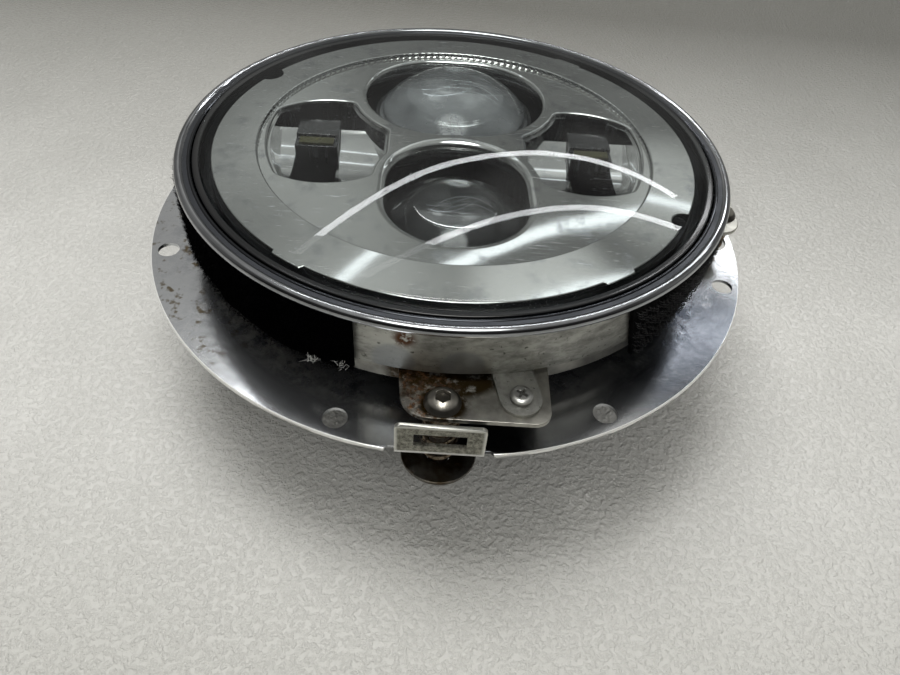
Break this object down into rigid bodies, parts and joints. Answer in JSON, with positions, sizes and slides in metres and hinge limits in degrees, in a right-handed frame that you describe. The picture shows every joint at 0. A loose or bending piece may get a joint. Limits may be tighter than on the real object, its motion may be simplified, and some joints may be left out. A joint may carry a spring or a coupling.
{
  "type": "round motorcycle headlight",
  "caption": "Round LED motorcycle headlight in its retaining ring, aimed by sprung screws and a ball pivot on a round mounting plate.",
  "frame": {"origin": "centre of the heat sink's flat back, on the lamp's axis", "axes": "+Z out of the lens along the lamp's axis, -Y towards the lamp's top, +X towards the lamp's left side as a rider sees it"},
  "size_m": [0.2175, 0.2174, 0.0884],
  "materials": {
    "clear_polycarbonate": "clear, scratched",
    "black_rubber": "matte",
    "chromed_plastic": "mirror",
    "projector_glass": "clear",
    "black_plastic": "glossy",
    "mirror_coating": "mirror",
    "blackened_steel": "matte black",
    "white_circuit_board": "matte white with a yellow chip",
    "led_phosphor": "yellow",
    "green_circuit_board": "matte",
    "black_aluminium": "black coated die casting",
    "zinc_steel": "dull zinc plating",
    "matte_black_plastic": "matte",
    "worn_ring_steel": "worn, with brown spots",
    "bright_screw_steel": "bright plated",
    "worn_carrier_steel": "dull, rusty along the edges",
    "black_loop_fabric": "fuzzy, with lint",
    "black_hook_nylon": "rows of small hooks",
    "polished_stainless": "polished, with spots",
    "rusty_steel": "rusty over dull plating",
    "white_nylon": "matte"
  },
  "bodies": {
    "mount": {"mounting_plate": "polished_stainless", "top_lug": "zinc_steel", "side_lug": "zinc_steel", "pivot_lug": "zinc_steel", "top_adjuster_nut": "rusty_steel", "side_adjuster_nut": "rusty_steel", "top_spring": "rusty_steel", "side_spring": "rusty_steel", "pivot_socket": "matte_black_plastic"},
    "pivot": {"pivot_liner": "white_nylon"},
    "lamp": {"cover_lens": "clear_polycarbonate", "lens_seal": "black_rubber", "bezel": "chromed_plastic", "low_beam_lens": "projector_glass", "low_beam_barrel": "black_plastic", "low_beam_reflector": "mirror_coating", "cutoff_shield": "blackened_steel", "low_beam_led_board": "white_circuit_board", "high_beam_lens": "projector_glass", "high_beam_barrel": "black_plastic", "high_beam_reflector": "mirror_coating", "high_beam_led_board": "white_circuit_board", "left_reflector": "mirror_coating", "right_reflector": "mirror_coating", "left_led_post": "black_plastic", "right_led_post": "black_plastic", "left_led": "led_phosphor", "right_led": "led_phosphor", "driver_board": "green_circuit_board", "lamp_housing": "black_aluminium", "heat_sink": "black_aluminium", "heat_sink_gasket": "black_rubber", "heat_sink_screws": "zinc_steel", "cable_gland": "black_rubber", "vent_plug": "matte_black_plastic", "retaining_ring": "worn_ring_steel", "ring_screws": "bright_screw_steel", "ring_nuts": "zinc_steel", "carrier_ring": "worn_carrier_steel", "loop_strap": "black_loop_fabric", "hook_strap": "black_hook_nylon", "pivot_stud": "zinc_steel", "pivot_nut": "zinc_steel"},
    "top_screw": {"top_adjuster_screw": "rusty_steel"},
    "side_screw": {"side_adjuster_screw": "rusty_steel"}
  },
  "joints": [
    {"name": "aim_vertical", "type": "hinge", "parent": "mount", "child": "pivot", "pos_m": [-0.07122, 0.06877, 0.03], "axis": [0.9272, -0.3746, 0], "range_deg": [-2.5, 2.5], "deforming": ["top_spring"]},
    {"name": "aim_horizontal", "type": "hinge", "parent": "pivot", "child": "lamp", "pos_m": [-0.07122, 0.06877, 0.03], "axis": [0.4067, -0.9135, 0], "range_deg": [-2.5, 2.5], "deforming": ["side_spring"]},
    {"name": "top_screw_turn", "type": "hinge", "parent": "lamp", "child": "top_screw", "pos_m": [0.00346, -0.09894, 0.03], "axis": [0, 0, 1], "range_deg": [-2005, 2005]},
    {"name": "side_screw_turn", "type": "hinge", "parent": "lamp", "child": "side_screw", "pos_m": [0.099, 0, 0.03], "axis": [0, 0, 1], "range_deg": [-2005, 2005]}
  ],
  "couplings": [
    {"joint": "top_screw_turn", "follows": "aim_vertical", "ratio": -801},
    {"joint": "side_screw_turn", "follows": "aim_horizontal", "ratio": 801}
  ]
}
